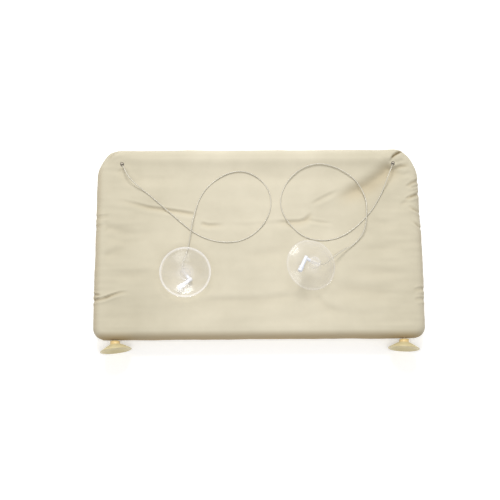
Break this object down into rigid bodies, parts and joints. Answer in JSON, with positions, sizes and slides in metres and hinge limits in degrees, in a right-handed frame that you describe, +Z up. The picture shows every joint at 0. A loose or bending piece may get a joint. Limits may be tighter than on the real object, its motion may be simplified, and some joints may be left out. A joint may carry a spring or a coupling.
{
  "type": "window mounted cat perch",
  "caption": "Window perch for a cat: a sewn fabric seat on a tube frame, with wire cables to large clear suction cups and small suction cups on the window edge.",
  "frame": {"origin": "on the surface the perch lies on, under the middle of the cover and lower cups", "axes": "+X along the window edge to the right, +Y from the window edge to the front, +Z up"},
  "size_m": [0.55, 0.3512, 0.0738],
  "materials": {
    "cover_fabric": "coated plain weave, soft sheen",
    "loop_tape": "fuzzy loops",
    "hook_tape": "short hooks",
    "frame_tube": "extruded, smooth",
    "frame_fitting": "moulded, smooth",
    "white_nylon": "moulded, satin",
    "crimp_metal": "crimped",
    "brass_insert": "turned",
    "plated_steel": "zinc plated",
    "amber_vinyl": "soft, satin",
    "cream_vinyl": "soft, satin",
    "clear_vinyl": "clear soft vinyl, polished",
    "wire_rope": "stranded, vinyl coated"
  },
  "bodies": {
    "root": {"cover": "cover_fabric", "loop_strip": "loop_tape", "hook_strip": "hook_tape", "front_rail": "frame_tube", "rear_rail": "frame_tube", "left_side_rail": "frame_tube", "right_side_rail": "frame_tube", "front_left_bend": "frame_fitting", "front_right_bend": "frame_fitting", "rear_left_corner": "frame_fitting", "rear_right_corner": "frame_fitting", "left_cable_bush": "white_nylon", "left_cable_stop": "crimp_metal", "left_stud_insert": "brass_insert", "left_upper_cup": "clear_vinyl", "left_toggle": "white_nylon", "left_cable": "wire_rope", "right_cable_bush": "white_nylon", "right_cable_stop": "crimp_metal", "right_stud_insert": "brass_insert", "right_upper_cup": "clear_vinyl", "right_toggle": "white_nylon", "right_cable": "wire_rope"},
    "left_stud_body": {"left_lower_stud": "plated_steel", "left_lower_neck": "amber_vinyl"},
    "left_cup_body": {"left_lower_cup": "cream_vinyl"},
    "right_stud_body": {"right_lower_stud": "plated_steel", "right_lower_neck": "amber_vinyl"},
    "right_cup_body": {"right_lower_cup": "cream_vinyl"}
  },
  "joints": [
    {"name": "left_cup_spin", "type": "hinge", "parent": "root", "child": "left_stud_body", "pos_m": [-0.239, -0.1542, 0.02537], "axis": [0, -0.9994, 0.0359], "continuous": true},
    {"name": "left_cup_tilt", "type": "hinge", "parent": "left_stud_body", "child": "left_cup_body", "pos_m": [-0.239, -0.1587, 0.02553], "axis": [1, 0, 0], "range_deg": [-12, 12], "stiffness_Nm_per_rad": 4, "deforming": ["left_lower_neck"]},
    {"name": "right_cup_spin", "type": "hinge", "parent": "root", "child": "right_stud_body", "pos_m": [0.239, -0.1542, 0.02537], "axis": [0, -0.9994, 0.0359], "continuous": true},
    {"name": "right_cup_tilt", "type": "hinge", "parent": "right_stud_body", "child": "right_cup_body", "pos_m": [0.239, -0.1587, 0.02553], "axis": [1, 0, 0], "range_deg": [-12, 12], "stiffness_Nm_per_rad": 4, "deforming": ["right_lower_neck"]}
  ]
}
